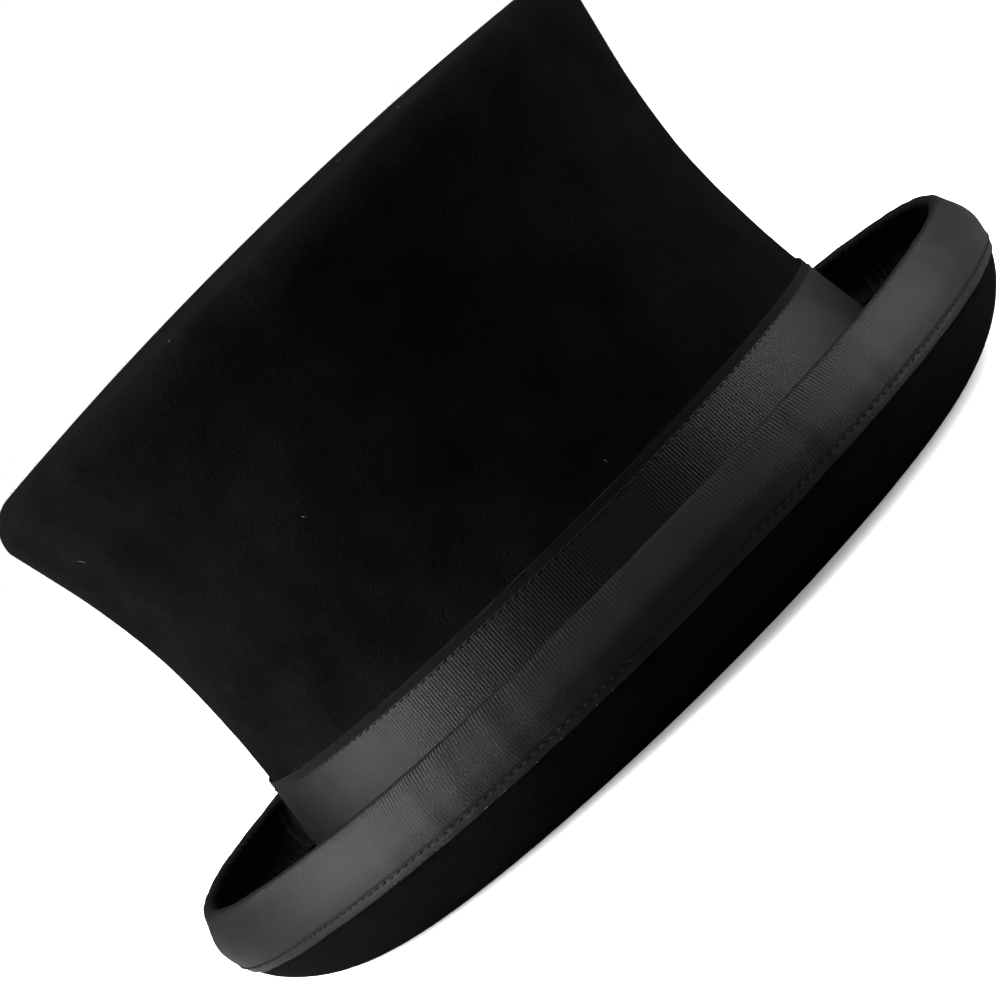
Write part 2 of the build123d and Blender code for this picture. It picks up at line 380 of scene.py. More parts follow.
# The inside leaf's pale strip colour, about twenty times the rest, is painted light on its gathers.
BINDING_GROSGRAIN = cloth(
    "binding_grosgrain", (0.0002, 0.0002, 0.0002), (0.0024, 0.0024, 0.0027), 1300.0, (0.7, 0.0002),
    0.45, 0.085, 0.004, 0.3, weave=("Y", 2600.0, 0.16),
    strip=(INNER_LEAF, 4.0 * MM, (0.045, 0.045, 0.047), 0.7),
)
BAND_GROSGRAIN = cloth(
    "hatband_grosgrain", (0.0001, 0.0001, 0.0001), (0.002, 0.002, 0.0023), 1300.0, (0.7, 0.0002),
    0.44, 0.085, 0.003, 0.3, weave=("Y", 2600.0, 0.16),
    strip=(SEAM_MARGIN, 0.3 * MM, (0.0002, 0.0002, 0.0002), 0.97),
)
SATIN = cloth(
    "lining_satin", (0.42, 0.4, 0.36), (0.62, 0.6, 0.55), 350.0, (0.2, 0.0001),
    0.36, 0.5, 0.25, 0.3, weave=("X", 1800.0, 0.3),
)
THREAD = cloth(
    "sewing_thread", (0.0003, 0.0003, 0.0004), (0.0015, 0.0015, 0.0018), 2500.0, (0.6, 0.0001),
    0.6, 0.07, 0.012, 0.4,
)
PALE_THREAD = cloth(
    "sweatband_thread_fibre", (0.05, 0.038, 0.03), (0.13, 0.1, 0.08), 2500.0, (0.6, 0.0001),
    0.6, 0.3, 0.2, 0.4,
)
TAB_CLOTH = cloth(
    "woven_tab_cloth", (0.5, 0.47, 0.4), (0.72, 0.7, 0.62), 900.0, (0.4, 0.0001),
    0.7, 0.3, 0.2, 0.4, weave=("Y", 2400.0, 0.6),
)
LINT_FIBRE = cloth(
    "lint_fibre", (0.05, 0.05, 0.052), (0.2, 0.2, 0.2), 2500.0, (0.3, 0.0001), 0.8, 0.2, 0.2, 0.5,
)
REED_PLASTIC = cloth(
    "reed_plastic", (0.012, 0.01, 0.009), (0.03, 0.026, 0.022), 700.0, (0.2, 0.0001), 0.5, 0.4, 0.0, 0.5,
)


def leather(name):
    """Fine-grained dark leather: cell grain with pores, and worn lighter patches."""
    material, nodes, links = new_material(name)
    shader = nodes["Principled BSDF"]
    shader.inputs["Specular IOR Level"].default_value = 0.45
    place_at = add_node(nodes, "ShaderNodeTexCoord")
    grain = add_node(nodes, "ShaderNodeTexVoronoi", Scale=1100.0, feature="DISTANCE_TO_EDGE")
    wear = add_node(nodes, "ShaderNodeTexNoise", Scale=30.0, Detail=5.0)
    links.new(place_at.outputs["Object"], grain.inputs["Vector"])
    links.new(place_at.outputs["Object"], wear.inputs["Vector"])
    colour = ramp(nodes, 0.3, 0.75, (0.018, 0.011, 0.008), (0.06, 0.036, 0.025))
    links.new(wear.outputs["Fac"], colour.inputs["Fac"])
    links.new(colour.outputs["Color"], shader.inputs["Base Color"])
    gloss = add_node(nodes, "ShaderNodeMapRange")
    gloss.inputs["To Min"].default_value = 0.38
    gloss.inputs["To Max"].default_value = 0.6
    links.new(wear.outputs["Fac"], gloss.inputs["Value"])
    links.new(gloss.outputs["Result"], shader.inputs["Roughness"])
    relief = add_node(nodes, "ShaderNodeBump", Strength=0.5, Distance=0.0002)
    links.new(grain.outputs["Distance"], relief.inputs["Height"])
    links.new(relief.outputs["Normal"], shader.inputs["Normal"])
    return material


LEATHER = leather("sweatband_leather_grain")


# --- Rim waviness, shared by the felt and its binding -------------------------------------------

def rim_lift(angle):
    """How far the rim rises or dips round the brim, from blocking by hand."""
    turn = angle / (2 * pi)
    return (0.45 * wander(turn, 7, 11) + 0.2 * wander(turn, 19, 12)) * MM


def hat_point(out, z, angle):
    """A point of the hat with the hand-made unevenness of its brim and crown."""
    turn = angle / (2 * pi)
    curl = smooth(14 * MM, 40 * MM, out) * (1 - smooth(44 * MM, 50 * MM, z))
    crown = smooth(60 * MM, 150 * MM, z)
    lean = smooth(24 * MM, 36 * MM, out) * smooth(29 * MM, 41 * MM, z) * (1 - smooth(44 * MM, 50 * MM, z))
    unevenness = crown * WALL_WANDER * wander(turn, 9, 21) + curl * WALL_WANDER * wander(turn, 8, 22)
    return place(out - RIM_LEAN * lean + unevenness, z + curl * rim_lift(angle), angle)


def profile_normals(profile):
    """Unit normals of a profile, to the left of its direction."""
    step = np.gradient(profile, axis=0)
    step /= np.linalg.norm(step, axis=1, keepdims=True)
    return np.stack([-step[:, 1], step[:, 0]], axis=1)


def unit(vectors):
    """Vectors scaled to length one."""
    return vectors / np.maximum(np.linalg.norm(vectors, axis=-1, keepdims=True), 1e-12)


def profile_length(profile):
    """Distance along a profile at each of its points."""
    return np.concatenate([[0.0], np.cumsum(np.linalg.norm(np.diff(profile, axis=0), axis=1))])


# --- Felt body ----------------------------------------------------------------------------------

def felt_profile():
    """The whole felt section: from the tip's underside, round the rim, to the top of the tip."""
    foot_in = wall_out(0.0) - CROWN_FELT
    mouth = (foot_in + MOUTH_RADIUS, MOUTH_RADIUS)
    cove = (wall_out(6 * MM) + COVE_RADIUS, BRIM_FELT + COVE_RADIUS)
    inside_top = crown_top_profile(CROWN_FELT, 8, 24)[::-1]
    inside_wall = wall_profile(6 * MM, WALL_TOP, CROWN_FELT, 40)[::-1][1:]
    opening = fillet_profile(mouth, MOUTH_RADIUS, 180, 270, 8)
    under = curl_profile(0, RIM_SLOPE, 0.0, 40)
    rim = rim_profile(0.0, 9)[1:-1]
    upper = curl_profile(RIM_SLOPE, 0, BRIM_FELT, 36)
    foot = fillet_profile(cove, COVE_RADIUS, 270, 180, 7)
    wall = wall_profile(7 * MM, WALL_TOP, 0.0, 80)
    top = crown_top_profile(0.0, 14, 40)[1:]
    return np.concatenate([inside_top, inside_wall, opening, under, rim, upper, foot, wall, top])


def make_felt():
    """Crown and brim, one blocked hood, a little uneven as felt is."""
    profile = felt_profile()
    angle, _ = even_turns(720)
    out, z = profile[:, 0][None, :], profile[:, 1][None, :]
    points = hat_point(out + 0 * angle[:, None], z + 0 * angle[:, None], angle[:, None] + 0 * out)
    points[:, 0] = points[:, 0].mean(axis=0)
    points[:, -1] = points[:, -1].mean(axis=0)
    felt = grid_object("felt_hood", points)
    close_ends(felt)
    texture = bpy.data.textures.new("felt_lumps", "CLOUDS")
    texture.noise_scale = 0.0035
    texture.noise_depth = 3
    lumps = felt.modifiers.new("lumps", "DISPLACE")
    lumps.texture = texture
    lumps.texture_coords = "LOCAL"
    lumps.strength = FELT_LUMPS
    lumps.mid_level = 0.5
    return finish_piece(felt, FELT, "felt", "felt_body")


# --- Ribbed ribbons -----------------------------------------------------------------------------

def tight_ends(profile):
    """A profile with one more point close to each end, so that its shading stays flat up to the edge."""
    first = profile[:1] + 0.12 * MM * unit(profile[1:2] - profile[:1])
    last = profile[-1:] + 0.12 * MM * unit(profile[-2:-1] - profile[-1:])
    return np.concatenate([profile[:1], first, profile[1:-1], last, profile[-1:]])


def ribbed_ribbon(name, front, back, ribs, pucker, edges, strength):
    """A closed ribbon round the hat: a front profile with ribs across it and a plain back.

    pucker(turn, share) is the outward displacement of the front, strength(share) how bold its
    ribs are, and edges are the distances along the front of the selvedges' stitch grooves.
    """
    front = tight_ends(front)
    count = ribs * VERTS_PER_RIB
    angle, girth = even_turns(count, front[:, 0].mean(), front[:, 1].mean())
    turn = np.arange(count)[:, None] / count
    along = profile_length(front)[None, :]
    normal = profile_normals(front)
    width = along[0, -1]
    phase = 2 * pi * np.arange(count)[:, None] / VERTS_PER_RIB
    wobble = 1 + 0.25 * wander(turn * 1.0, ribs // 3, 31)
    margin = np.minimum(along, width - along)
    body = 0.35 + 0.65 * smooth(1.6 * MM, 3.2 * MM, margin)
    rib = RIB_DEPTH * body * strength(along / width) * wobble * np.cos(phase)
    groove = sum(-GROOVE_DEPTH * np.exp(-((along - e) / GROOVE_WIDTH) ** 2) for e in edges)
    lift = rib + groove + pucker(turn, along / width)
    out = front[None, :, 0] + lift * normal[None, :, 0]
    z = front[None, :, 1] + lift * normal[None, :, 1]
    fray = 0.02 * MM * np.cos(phase / 2) + 0.25 * MM * wander(turn, 90, 33)
    ends = np.zeros((1, along.shape[1]))
    ends[0, 0] = -1.0
    ends[0, -1] = 1.0
    tangent = np.stack([normal[:, 1], -normal[:, 0]], axis=1)
    out = out + ends * fray * tangent[None, :, 0]
    z = z + ends * fray * tangent[None, :, 1]
    grid_angle = angle[:, None] + 0 * out
    lower = pucker(turn, np.linspace(1, 0, len(back))[None, :])
    back_normal = profile_normals(back[::-1])[::-1]
    back_out = back[None, :, 0] + lower * back_normal[None, :, 0]
    back_z = back[None, :, 1] + lower * back_normal[None, :, 1]
    points = np.concatenate(
        [hat_point(out, z, grid_angle), hat_point(back_out, back_z, angle[:, None] + 0 * back_out)], axis=1
    )
    u = np.broadcast_to(turn * girth, (count, points.shape[1]))
    v = np.broadcast_to(np.concatenate([along[0], np.linspace(width, 0, len(back))])[None, :], u.shape)
    return grid_object(name, points, round_v=True, uv=np.stack([u, v], axis=-1)), girth, width


def make_hatband():
    """The ribbon round the foot of the crown."""
    front = wall_profile(BAND_LOW, BAND_HIGH, -BAND_FACE, 56)[::-1]
    back = wall_profile(BAND_LOW, BAND_HIGH, -BAND_BACK, 12)

    def pucker(turn, share):
        slack = 0.35 * wander(turn, 26, 41) * np.sin(pi * share) + 0.25 * wander(turn, 60, 42) * share
        return slack * 0.4 * MM

    def strength(share):
        return 0.75 + 0 * share

    band, girth, width = ribbed_ribbon(
        "hatband_ribbon", front, back, BAND_RIBS, pucker, [SEAM_MARGIN], strength
    )
    return finish_piece(band, BAND_GROSGRAIN, "band_ribbon", "hatband")


def binding_front():
    """The binding's outer face: up the outside of the brim, over the rim and down inside."""
    slope = 62.0
    while curl_point(slope, -RIBBON)[1] < BINDING_LOW:
        slope += 0.25
    outside = curl_profile(slope, RIM_SLOPE, -RIBBON, 34)
    over = rim_profile(RIBBON, 13)[1:-1]
    inside = curl_profile(RIM_SLOPE, BINDING_FOOT_SLOPE, BRIM_FELT + RIBBON, 26)
    return np.concatenate([outside, over, inside])


def binding_back():
    """The binding's hidden face, close to the felt, from inside back to outside."""
    inside = curl_profile(BINDING_FOOT_SLOPE, RIM_SLOPE, BRIM_FELT + BINDING_BACK, 10)
    over = rim_profile(BINDING_BACK, 7)[1:-1][::-1]
    outside = curl_profile(RIM_SLOPE, 67.0, -BINDING_BACK, 12)
    return np.concatenate([inside, over, outside])


def inner_gathers(turn, share):
    """Gathers of the inside leaf, where the folded ribbon is too long for the smaller oval."""
    inner = smooth(0.52, 0.68, share)
    sway = 0.16 * wander(turn, 60, 54) * share
    phase = 2 * pi * (GATHERS * turn + 0.55 * wander(turn, GATHERS // 2, 51) + sway)
    size = 0.75 + 0.35 * wander(turn, 70, 52)
    folds = size * (0.5 + 0.5 * np.cos(phase)) ** 0.8
    return inner * GATHER_DEPTH * folds + (1 - inner) * 0.12 * MM * wander(turn, 150, 53)


def make_binding():
    """The wide ribbon folded over the rim."""
    front = binding_front()[::-1]
    back = binding_back()[::-1]
    length = profile_length(front)[-1]

    def pucker(turn, share):
        return inner_gathers(turn, 1 - share)

    def strength(share):
        return 0.2 + 1.0 * np.exp(-(((share - RIM_SHARE) / 0.11) ** 2))

    edges = [SEAM_MARGIN, length - SEAM_MARGIN]
    binding, girth, width = ribbed_ribbon(
        "brim_binding_ribbon", front, back, BINDING_RIBS, pucker, edges, strength
    )
    return finish_piece(binding, BINDING_GROSGRAIN, "binding_ribbon", "brim_binding")


# --- Stitches and fibres ------------------------------------------------------------------------

def tubes_object(name, centres, across, outwards, radii, sides):
    """Many short closed tubes: centres (n, m, 3), their two cross directions, and m radii."""
    n, m = centres.shape[:2]
    round_it = 2 * pi * np.arange(sides) / sides
    ring = across[:, :, None, :] * np.cos(round_it)[None, None, :, None]
    ring = ring + outwards[:, :, None, :] * np.sin(round_it)[None, None, :, None]
    points = centres[:, :, None, :] + ring * np.asarray(radii)[..., None, None]
    index = np.arange(n * m * sides).reshape(n, m, sides)
    turned = np.roll(index, -1, axis=2)
    walls = np.stack([index[:, :-1], turned[:, :-1], turned[:, 1:], index[:, 1:]], axis=-1).reshape(-1, 4)
    caps = np.concatenate([index[:, 0, ::-1], index[:, -1]])
    mesh = bpy.data.meshes.new(name)
    mesh.from_pydata(points.reshape(-1, 3).tolist(), [], walls.tolist() + caps.tolist())
    mesh.update()
    mesh.shade_smooth()
    thing = bpy.data.objects.new(name, mesh)
    bpy.context.scene.collection.objects.link(thing)
    return thing


def stitch_row(name, out, z, slope, pitch, length, radius, seed, facing=1.0):
    """A row of lockstitches round the hat, at a profile point where the surface has a slope in degrees."""
    _, girth = even_turns(8, out, z)
    count = int(girth / pitch)
    angle, _ = even_turns(count, out, z)
    per_metre = np.gradient(angle) / (girth / count)
    per_metre[0], per_metre[-1] = per_metre[1], per_metre[-2]
    rng = np.random.default_rng(seed)
    along = np.array([-1.0, -0.8, -0.4, 0.0, 0.4, 0.8, 1.0])
    stretch = length / 2 * rng.uniform(0.88, 1.06, (count, 1))
    turned = angle[:, None] + along * stretch * per_metre[:, None]
    up = radians(slope)
    side = rng.normal(0.0, 0.08 * MM, (count, 1)) + along * rng.normal(0.0, 0.09 * MM, (count, 1))
    height = radius * (0.55 - 1.3 * along**4)
    off = facing * height
    outs = out + side * np.cos(up) + off * np.sin(up)
    zs = z + side * np.sin(up) - off * np.cos(up)
    centres = hat_point(outs, zs, turned)
    tangent = unit(np.gradient(centres, axis=1))
    outwards = np.stack(
        [np.sin(up) * np.sin(turned), np.sin(up) * np.cos(turned), -np.cos(up) + 0 * turned], axis=-1
    )
    across = unit(np.cross(tangent, outwards))
    outwards = unit(np.cross(across, tangent))
    radii = radius * np.array([0.3, 0.75, 0.95, 1.0, 0.95, 0.75, 0.3])
    return tubes_object(name, centres, across, outwards, np.broadcast_to(radii, (count, 7)), 8)


def profile_place(profile, distance):
    """Point and slope in degrees of a profile at a distance from its start."""
    along = profile_length(profile)
    out = np.interp(distance, along, profile[:, 0])
    z = np.interp(distance, along, profile[:, 1])
    step = 0.5 * MM
    ahead = [np.interp(distance + step, along, profile[:, k]) for k in (0, 1)]
    return out, z, np.degrees(atan2(ahead[1] - z, ahead[0] - out))


def make_band_stitches():
    """The line of stitching just below the band's top edge."""
    face = wall_profile(BAND_LOW, BAND_HIGH, -BAND_FACE, 56)
    out, z, slope = profile_place(face, BAND_HIGH - BAND_LOW - SEAM_MARGIN)
    row = stitch_row("hatband_stitches", out, z, slope, 2.9 * MM, 2.1 * MM, 0.2 * MM, 61)
    return finish_piece(row, THREAD, "thread", "hatband_thread")


def make_binding_stitches():
    """The seam through the binding and the brim, seen on both faces."""
    face = binding_front()
    length = profile_length(face)[-1]
    out, z, slope = profile_place(face, SEAM_MARGIN)
    outer = stitch_row("binding_stitches_outside", out, z, slope, 3.1 * MM, 2.2 * MM, 0.22 * MM, 62)
    finish_piece(outer, THREAD, "thread", "binding_thread")
    out, z, slope = profile_place(face, length - SEAM_MARGIN)
    inner = stitch_row("binding_stitches_inside", out, z, slope, 3.1 * MM, 2.2 * MM, 0.22 * MM, 63)
    finish_piece(inner, THREAD, "thread", "binding_thread")


def fibres(name, bases, normals, length, radius, lean, seed):
    """Short curved fibres that stand on a surface and lean at random."""
    rng = np.random.default_rng(seed)
    count = len(bases)
    stray = unit(rng.normal(size=(count, 3)))
    direction = unit(normals + lean * stray)
    bend = unit(rng.normal(size=(count, 3)))
    reach = (length * rng.uniform(0.4, 1.0, count))[:, None, None]
    share = np.array([0.0, 0.4, 0.75, 1.0])[None, :, None]
    curve = share * direction[:, None, :] + 0.45 * share**2 * bend[:, None, :]
    centres = bases[:, None, :] + reach * curve
    tangent = unit(np.gradient(centres, axis=1))
    across = unit(np.cross(tangent, stray[:, None, :] + 0 * tangent))
    outwards = np.cross(across, tangent)
    radii = np.broadcast_to(radius * np.array([1.0, 0.9, 0.6, 0.25]), (count, 4))
    return tubes_object(name, centres, across, outwards, radii, 3)


def felt_surface_places(count, seed):
    """Random places on the outside of the crown and under the brim, with their outward normals."""
    rng = np.random.default_rng(seed)
    wall = wall_profile(54 * MM, WALL_TOP, 0.0, 60)
    outside = np.concatenate([wall, crown_top_profile(0.0, 14, 2)[1:-1]])
    under = curl_profile(2.0, 66.0, 0.0, 40)[::-1]
    bases, normals = [], []
    for profile, share in ((outside, 0.72), (under, 0.28)):
        number = int(count * share)
        along = profile_length(profile)
        distance = rng.uniform(0.0, along[-1], number)
        out = np.interp(distance, along, profile[:, 0])
        z = np.interp(distance, along, profile[:, 1])
        normal = profile_normals(profile)
        sign = -1.0 if profile is outside else 1.0
        n_out = sign * np.interp(distance, along, normal[:, 0])
        n_z = sign * np.interp(distance, along, normal[:, 1])
        angle = rng.uniform(0.0, 2 * pi, number)
        bases.append(hat_point(out, z, angle))
        normals.append(np.stack([n_out * np.sin(angle), n_out * np.cos(angle), n_z], axis=-1))
    return np.concatenate(bases), np.concatenate(normals)


def make_nap():
    """The felt's short nap, which softens its outline, and a little pale lint."""
    bases, normals = felt_surface_places(26000, 71)
    nap = fibres("felt_nap", bases, normals, 0.75 * MM, 0.022 * MM, 1.4, 72)
    finish_piece(nap, FELT, "felt")
    bases, normals = felt_surface_places(46, 73)
    lint = fibres("felt_lint", bases + normals * 0.1 * MM, normals, 1.5 * MM, 0.045 * MM, 4.0, 74)
    finish_piece(lint, LINT_FIBRE, "felt")


# --- Bows ---------------------------------------------------------------------------------------

def surface_point(centre_angle, inset, along, z, lift):
    """A point on a skin of the crown wall: a distance along it, a height, and a lift outwards."""
    out = wall_out(z) - inset + lift
    a, b = half_axes(out, z)
    reach = abs(np.sin(centre_angle)) * b + abs(np.cos(centre_angle)) * a
    return hat_point(out, z, centre_angle + along / reach)


def strip_object(name, point, half, low, high, thickness, notch=0.0, rib=1.0 * MM):
    """A flat ribbon strip with ribs across it; point(along, z, lift) places it."""
    columns = 2 * int(half / rib) * VERTS_PER_RIB + 1
    u = np.linspace(-1, 1, columns)[:, None]
    v = np.linspace(-1, 1, 25)[None, :]
    along = u * (half - notch * (1 - np.abs(v)))
    z = (low + high) / 2 + (high - low) / 2 * v + 0 * u
    ribs = RIB_DEPTH * np.cos(pi / 2 * np.arange(columns))[:, None]
    curl = 0.9 * MM * np.abs(u) ** 5 if notch else 0.0 * u
    front = point(along, z, thickness + curl + ribs + 0 * v)
    back = point(along[:, ::-1], z[:, ::-1], curl + 0 * v)
    uv = np.stack([along, z], axis=-1)
    strip = grid_object(
        name, np.concatenate([front, back], axis=1), round_u=False, round_v=True,
        uv=np.concatenate([uv, uv[:, ::-1]], axis=1),
    )
    return close_ends(strip)


def stadium(half, radius, puff, count):
    """A flat closed loop (along, lift) of a folded ribbon, puffed a little between its folds."""
    turn = 2 * pi * np.arange(count) / count
    along = half * np.sign(np.cos(turn)) * np.abs(np.cos(turn)) ** 0.55
    lift = radius * np.sign(np.sin(turn)) * np.abs(np.sin(turn)) ** 0.5
    share = np.abs(along) / half
    return along, lift + np.maximum(np.sin(turn), 0) * puff * np.sin(pi * share) ** 2


def loop_object(name, point, half, radius, puff, low, high, thickness, upright=False, rib=1.0 * MM):
    """A ribbon closed on itself as flat loops; upright, its length runs up the hat."""
    size = 4 * half
    count = max(64, 2 * int(size / rib / 2) * VERTS_PER_RIB)
    outer_a, outer_l = stadium(half, radius, puff, count)
    inner_a, inner_l = stadium(half - thickness, radius - thickness, puff, count)
    ribs = RIB_DEPTH * np.cos(pi / 2 * np.arange(count))[:, None]
    v = np.linspace(-1, 1, 21)[None, :]
    across = (low + high) / 2 + (high - low) / 2 * v
    outer_l = outer_l[:, None] + ribs * np.sign(outer_l)[:, None]
    grids = []
    outside = (outer_a[:, None], outer_l, across)
    inside = (inner_a[:, None], inner_l[:, None], across[:, ::-1])
    for along, lift, wide in (outside, inside):
        first, second = along + 0 * wide, wide + 0 * along
        raised = lift + radius + 0 * wide
        grids.append(point(second, first, raised) if upright else point(first, second, raised))
    distance = np.broadcast_to(np.linspace(0, size, count)[:, None], grids[0].shape[:2])
    uv = np.stack([distance, across + 0 * distance], axis=-1)
    both_uv = np.concatenate([uv, uv[:, ::-1]], axis=1)
    return close_ends(grid_object(name, np.concatenate(grids, axis=1), round_v=True, uv=both_uv))


def make_bow():
    """The flat bow over the band's join, on the wearer's left."""
    band_face = BAND_FACE + 0.1 * MM
    low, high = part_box("bow_base")[0].z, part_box("bow_base")[1].z
    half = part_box("bow_base")[1].y
    middle = (low + high) / 2

    def on_band(along, z, lift):
        return surface_point(pi / 2, -band_face, along, z, lift)

    base = strip_object("bow_base_ribbon", on_band, half, low, high, RIBBON, notch=7 * MM)
    finish_piece(base, GROSGRAIN, "band_ribbon", "bow_base")

    def on_base(along, z, lift):
        return surface_point(pi / 2, -band_face - RIBBON - 0.1 * MM, along, z, lift)

    loop_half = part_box("bow_loops")[1].y
    loops = loop_object(
        "bow_loop_ribbon", on_base, loop_half, 1.3 * MM, 0.7 * MM, low + 1 * MM, high - 1 * MM,
        BOW_RIBBON,
    )
    finish_piece(loops, GROSGRAIN, "band_ribbon", "bow_loops")

    def round_loops(along, z, lift):
        return surface_point(pi / 2, -band_face - RIBBON + 0.5 * MM, along, middle + z, lift)

    knot_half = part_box("bow_knot")[1].y
    knot = loop_object(
        "bow_knot_ribbon", round_loops, (high - low) / 2 + 0.4 * MM, 2.2 * MM, 0.0,
        -knot_half, knot_half, BOW_RIBBON, upright=True,
    )
    finish_piece(knot, GROSGRAIN, "band_ribbon", "bow_knot")


# --- Inside the crown ---------------------------------------------------------------------------

def ring_object(name, front, back, count, lift):
    """A closed skin round the hat: a front profile moved by lift(turn, share), and its back."""
    angle, girth = even_turns(count, front[:, 0].mean(), front[:, 1].mean())
    turn = np.arange(count)[:, None] / count
    share = np.linspace(0, 1, len(front))[None, :]
    raised = lift(turn, share)
    hidden = lift(turn, np.linspace(1, 0, len(back))[None, :])
    points = np.concatenate([
        hat_point(profile[None, :, 0] - shift, profile[None, :, 1] + 0 * shift, angle[:, None] + 0 * shift)
        for profile, shift in ((front, raised), (back, hidden))
    ], axis=1)
    along = np.concatenate([profile_length(front), profile_length(back)[::-1]])
    u = np.broadcast_to(turn * girth, points.shape[:2])
    v = np.broadcast_to(along[None, :], points.shape[:2])
    ring = grid_object(name, points, round_v=True, uv=np.stack([u, v], axis=-1))
    return close_ends(ring), girth, profile_length(front)[-1]


def make_lining():
    """The pleated satin wall, the smooth satin tip, and the piping between them."""
    low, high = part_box("lining_side")[0].z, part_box("lining_side")[1].z

    def pleats(turn, share):
        fold = np.abs(wander(turn, 96, 81)) ** 1.5 + 0.3 * np.abs(wander(turn, 210, 82))
        return 1.3 * MM * fold * smooth(0.25, 1.0, share)

    front = wall_profile(low, high, CROWN_FELT + 0.55 * MM, 60)
    back = wall_profile(low, high, CROWN_FELT + 0.2 * MM, 30)[::-1]
    wall, girth, width = ring_object("lining_side_satin", front, back, 1440, pleats)
    finish_piece(wall, SATIN, "lining_satin", "lining_side")

    def quilting(turn, share):
        return 0.25 * MM * wander(turn, 130, 83) * (1 - smooth(0.0, 0.3, share)) + 0 * share

    front = crown_top_profile(CROWN_FELT + 0.6 * MM, 10, 40)
    back = crown_top_profile(CROWN_FELT + 0.2 * MM, 10, 40)[::-1]
    tip, _, _ = ring_object("lining_tip_satin", front, back, 720, quilting)
    finish_piece(tip, SATIN, "lining_satin", "lining_tip")
    make_cord_ring(
        "lining_piping_cord", CROWN_FELT + 1.6 * MM, 0.85 * MM, SATIN, "piping_cord", "lining_piping"
    )


def make_cord_ring(name, inset, radius, material, slot, node):
    """A round cord with a twisted surface that follows the crown wall, as high as its CAD node."""
    height = (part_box(node)[0].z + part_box(node)[1].z) / 2
    count, sides = 1440, 12
    angle, girth = even_turns(count, float(wall_out(height)), height)
    round_it = 2 * pi * np.arange(sides)[None, :] / sides
    twist = 0.06 * radius * np.cos(3 * (round_it + angle[:, None] * girth / (2 * pi) / (3 * MM)))
    size = radius * 0.94 + twist
    out = wall_out(height) - inset + size * np.cos(round_it)
    points = hat_point(out, height + size * np.sin(round_it), angle[:, None] + 0 * out)
    return finish_piece(close_ends(grid_object(name, points, round_v=True)), material, slot, node)


def make_sweatband():
    """The leather sweatband with its reed, seam, back joint, small bow and blank tab."""
    low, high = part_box("sweatband")[0].z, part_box("sweatband")[1].z
    face, hidden = 4.75 * MM, 3.7 * MM

    def slack(turn, share):
        return 0.35 * MM * wander(turn, 17, 91) * share + 0.12 * MM * wander(turn, 45, 92)

    front = wall_profile(low, high, face, 60)
    back = wall_profile(low, high, hidden, 20)[::-1]
    band, girth, width = ring_object("sweatband_leather_strip", front, back, 720, slack)
    finish_piece(band, LEATHER, "sweatband_leather", "sweatband")
    make_cord_ring(
        "sweatband_reed_cord", CROWN_FELT + 1.5 * MM, 1.15 * MM, REED_PLASTIC, "reed", "sweatband_reed"
    )
    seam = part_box("sweatband_thread")[1].z
    row = stitch_row(
        "sweatband_stitches", float(wall_out(seam)) - face, seam, 93.0, 3.0 * MM, 2.2 * MM, 0.2 * MM,
        93, facing=-1.0,
    )
    finish_piece(row, PALE_THREAD, "sweatband_stitching", "sweatband_thread")

    def inside(gap):
        return lambda along, z, lift: surface_point(0.0, face + gap, along, z, -lift)

    joint_low, joint_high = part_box("sweatband_seam")[0].z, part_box("sweatband_seam")[1].z
    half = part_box("sweatband_seam")[1].x
    joint = strip_object("sweatband_joint_tape", inside(0.45 * MM), half, joint_low, joint_high, TAPE)
    finish_piece(joint, LEATHER, "seam_tape", "sweatband_seam")
    bow_low, bow_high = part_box("sweatband_bow")[0].z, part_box("sweatband_bow")[1].z
    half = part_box("sweatband_bow")[1].x
    bow = loop_object(
        "sweatband_bow_ribbon", inside(0.7 * MM), half, 0.9 * MM, 0.3 * MM, bow_low, bow_high, TAPE
    )
    finish_piece(bow, GROSGRAIN, "inner_ribbon", "sweatband_bow")
    tab_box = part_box("size_tab")
    tab_middle = (tab_box[0].x + tab_box[1].x) / 2

    def on_lining(along, z, lift):
        return surface_point(0.0, 3.6 * MM, along + tab_middle, z, -lift)

    tab_half = (tab_box[1].x - tab_box[0].x) / 2
    tab = strip_object("blank_size_tab", on_lining, tab_half, tab_box[0].z, tab_box[1].z, TAPE)
    finish_piece(tab, TAB_CLOTH, "woven_tab", "size_tab")


# --- Stage --------------------------------------------------------------------------------------

CAMERA_AT = Vector((-1.1431, 0.0502, 0.1580))
AIM = Vector((0, 0, 0.060))
CAMERA_TILT = radians(-44.5)
LENS = 146.4
SHIFT = (-0.0189, 0.0061)
FLOOR_CAST = 0.22  # how much light the floor passes on to the hat
WORLD_CAST = 0.1  # the same for the surroundings
LIGHTS = [  # name, place, size and power
    ("side_front", (-0.1, -1.3, 0.5), (0.6, 1.2), 57.0),
    ("side_back", (-0.25, 1.3, 0.5), (0.6, 1.2), 132.0),
    ("overhead", (0.0, 0.0, 2.2), (2.5, 2.5), 60.0),
    ("fill", (-0.55, 0.9, 1.4), (0.8, 0.8), 7.0),
]


def make_camera():
    """A level view of the hat's right side, with the camera turned about its own axis."""
    data = bpy.data.cameras.new("camera")
    data.lens = LENS
    data.sensor_width = 36.0
    data.shift_x, data.shift_y = SHIFT
    data.clip_start, data.clip_end = 0.01, 50.0
    camera = bpy.data.objects.new("camera", data)
    bpy.context.scene.collection.objects.link(camera)
    aim = (AIM - CAMERA_AT).to_track_quat("-Z", "Y").to_matrix().to_4x4()
    camera.matrix_world = Matrix.Translation(CAMERA_AT) @ aim @ Matrix.Rotation(CAMERA_TILT, 4, "Z")
    bpy.context.scene.camera = camera


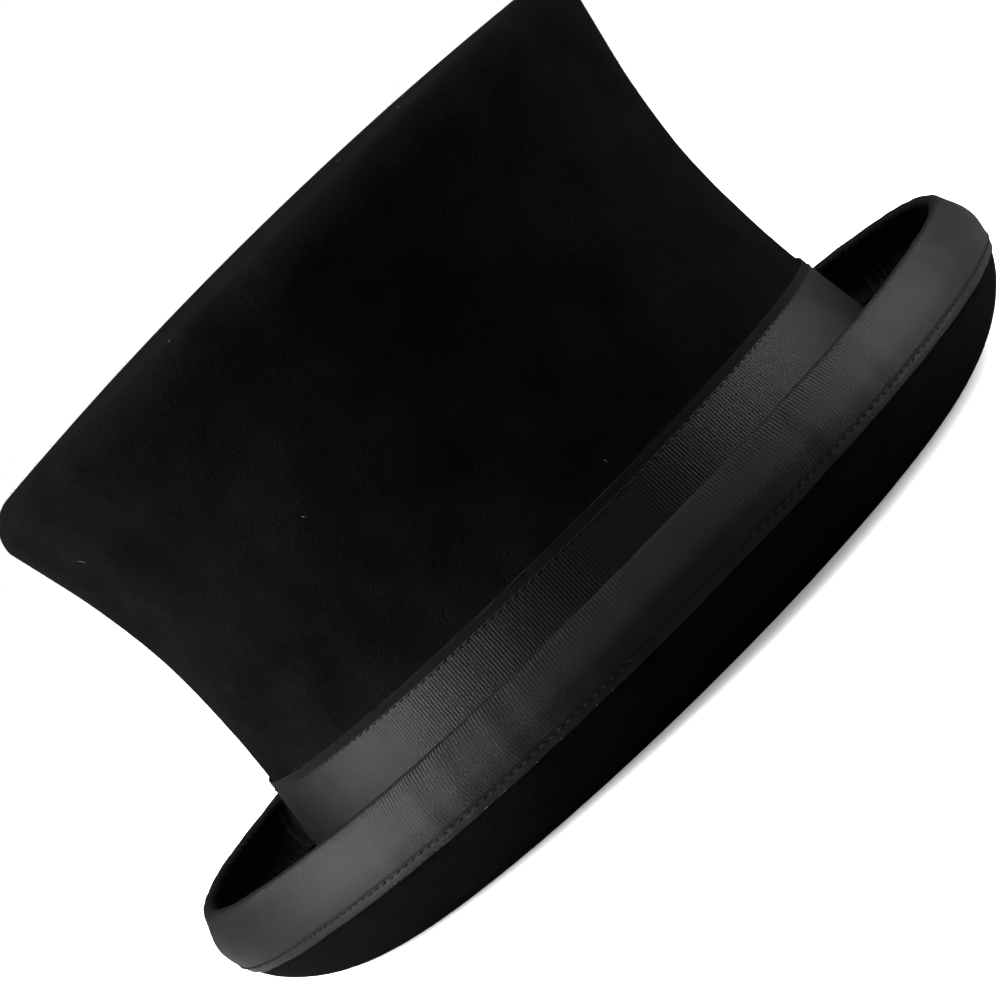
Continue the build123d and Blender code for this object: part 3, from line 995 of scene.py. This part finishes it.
def make_light(name, at, size, power):
    """A soft box that faces the hat."""
    data = bpy.data.lights.new(name, "AREA")
    data.shape = "RECTANGLE"
    data.size, data.size_y = size
    data.energy = power
    light = bpy.data.objects.new(name, data)
    bpy.context.scene.collection.objects.link(light)
    light.location = at
    light.rotation_mode = "QUATERNION"
    light.rotation_quaternion = (Vector((0, 0, 0.08)) - Vector(at)).to_track_quat("-Z", "Y")


def make_floor():
    """A plain pale floor, wide enough to reach the horizon."""
    bpy.ops.mesh.primitive_circle_add(vertices=96, radius=12.0, fill_type="NGON", location=(0, 0, 0))
    floor = bpy.context.object
    floor.name = "floor"
    material, nodes, links = new_material("pale_floor")
    shader = nodes["Principled BSDF"]
    shader.inputs["Base Color"].default_value = (0.93, 0.93, 0.93, 1)
    shader.inputs["Roughness"].default_value = 0.9
    shader.inputs["Specular IOR Level"].default_value = 0.0
    shader.inputs["Emission Color"].default_value = (1, 1, 1, 1)
    place_at = add_node(nodes, "ShaderNodeTexCoord")
    distance = add_node(nodes, "ShaderNodeVectorMath", operation="LENGTH")
    links.new(place_at.outputs["Object"], distance.inputs[0])
    glow = add_node(nodes, "ShaderNodeMapRange", interpolation_type="SMOOTHSTEP")
    glow.inputs["From Min"].default_value = 0.2
    glow.inputs["From Max"].default_value = 0.7
    glow.inputs["To Min"].default_value = 0.25
    glow.inputs["To Max"].default_value = 1.0
    links.new(distance.outputs["Value"], glow.inputs["Value"])
    links.new(glow.outputs["Result"], shader.inputs["Emission Strength"])
    cast = add_node(nodes, "ShaderNodeBsdfDiffuse")
    cast.inputs["Color"].default_value = (FLOOR_CAST, FLOOR_CAST, FLOOR_CAST, 1)
    path = nodes.new("ShaderNodeLightPath")
    both = nodes.new("ShaderNodeMixShader")
    links.new(path.outputs["Is Camera Ray"], both.inputs["Fac"])
    links.new(cast.outputs["BSDF"], both.inputs[1])
    links.new(shader.outputs["BSDF"], both.inputs[2])
    links.new(both.outputs["Shader"], nodes["Material Output"].inputs["Surface"])
    floor.data.materials.append(material)


def make_world():
    """White surroundings; the light that they cast is dimmer than they look."""
    world = bpy.data.worlds.new("studio")
    bpy.context.scene.world = world
    world.use_nodes = True
    nodes, links = world.node_tree.nodes, world.node_tree.links
    seen = nodes["Background"]
    seen.inputs["Color"].default_value = (1, 1, 1, 1)
    seen.inputs["Strength"].default_value = 1.0
    cast = nodes.new("ShaderNodeBackground")
    cast.inputs["Color"].default_value = (1, 1, 1, 1)
    cast.inputs["Strength"].default_value = WORLD_CAST
    path = nodes.new("ShaderNodeLightPath")
    both = nodes.new("ShaderNodeMixShader")
    links.new(path.outputs["Is Camera Ray"], both.inputs["Fac"])
    links.new(cast.outputs["Background"], both.inputs[1])
    links.new(seen.outputs["Background"], both.inputs[2])
    links.new(both.outputs["Shader"], nodes["World Output"].inputs["Surface"])


make_felt()
make_nap()
make_hatband()
make_band_stitches()
make_binding()
make_binding_stitches()
make_bow()
make_lining()
make_sweatband()
make_camera()
make_floor()
make_world()
for light in LIGHTS:
    make_light(*light)
bpy.context.scene.view_settings.view_transform = "Standard"
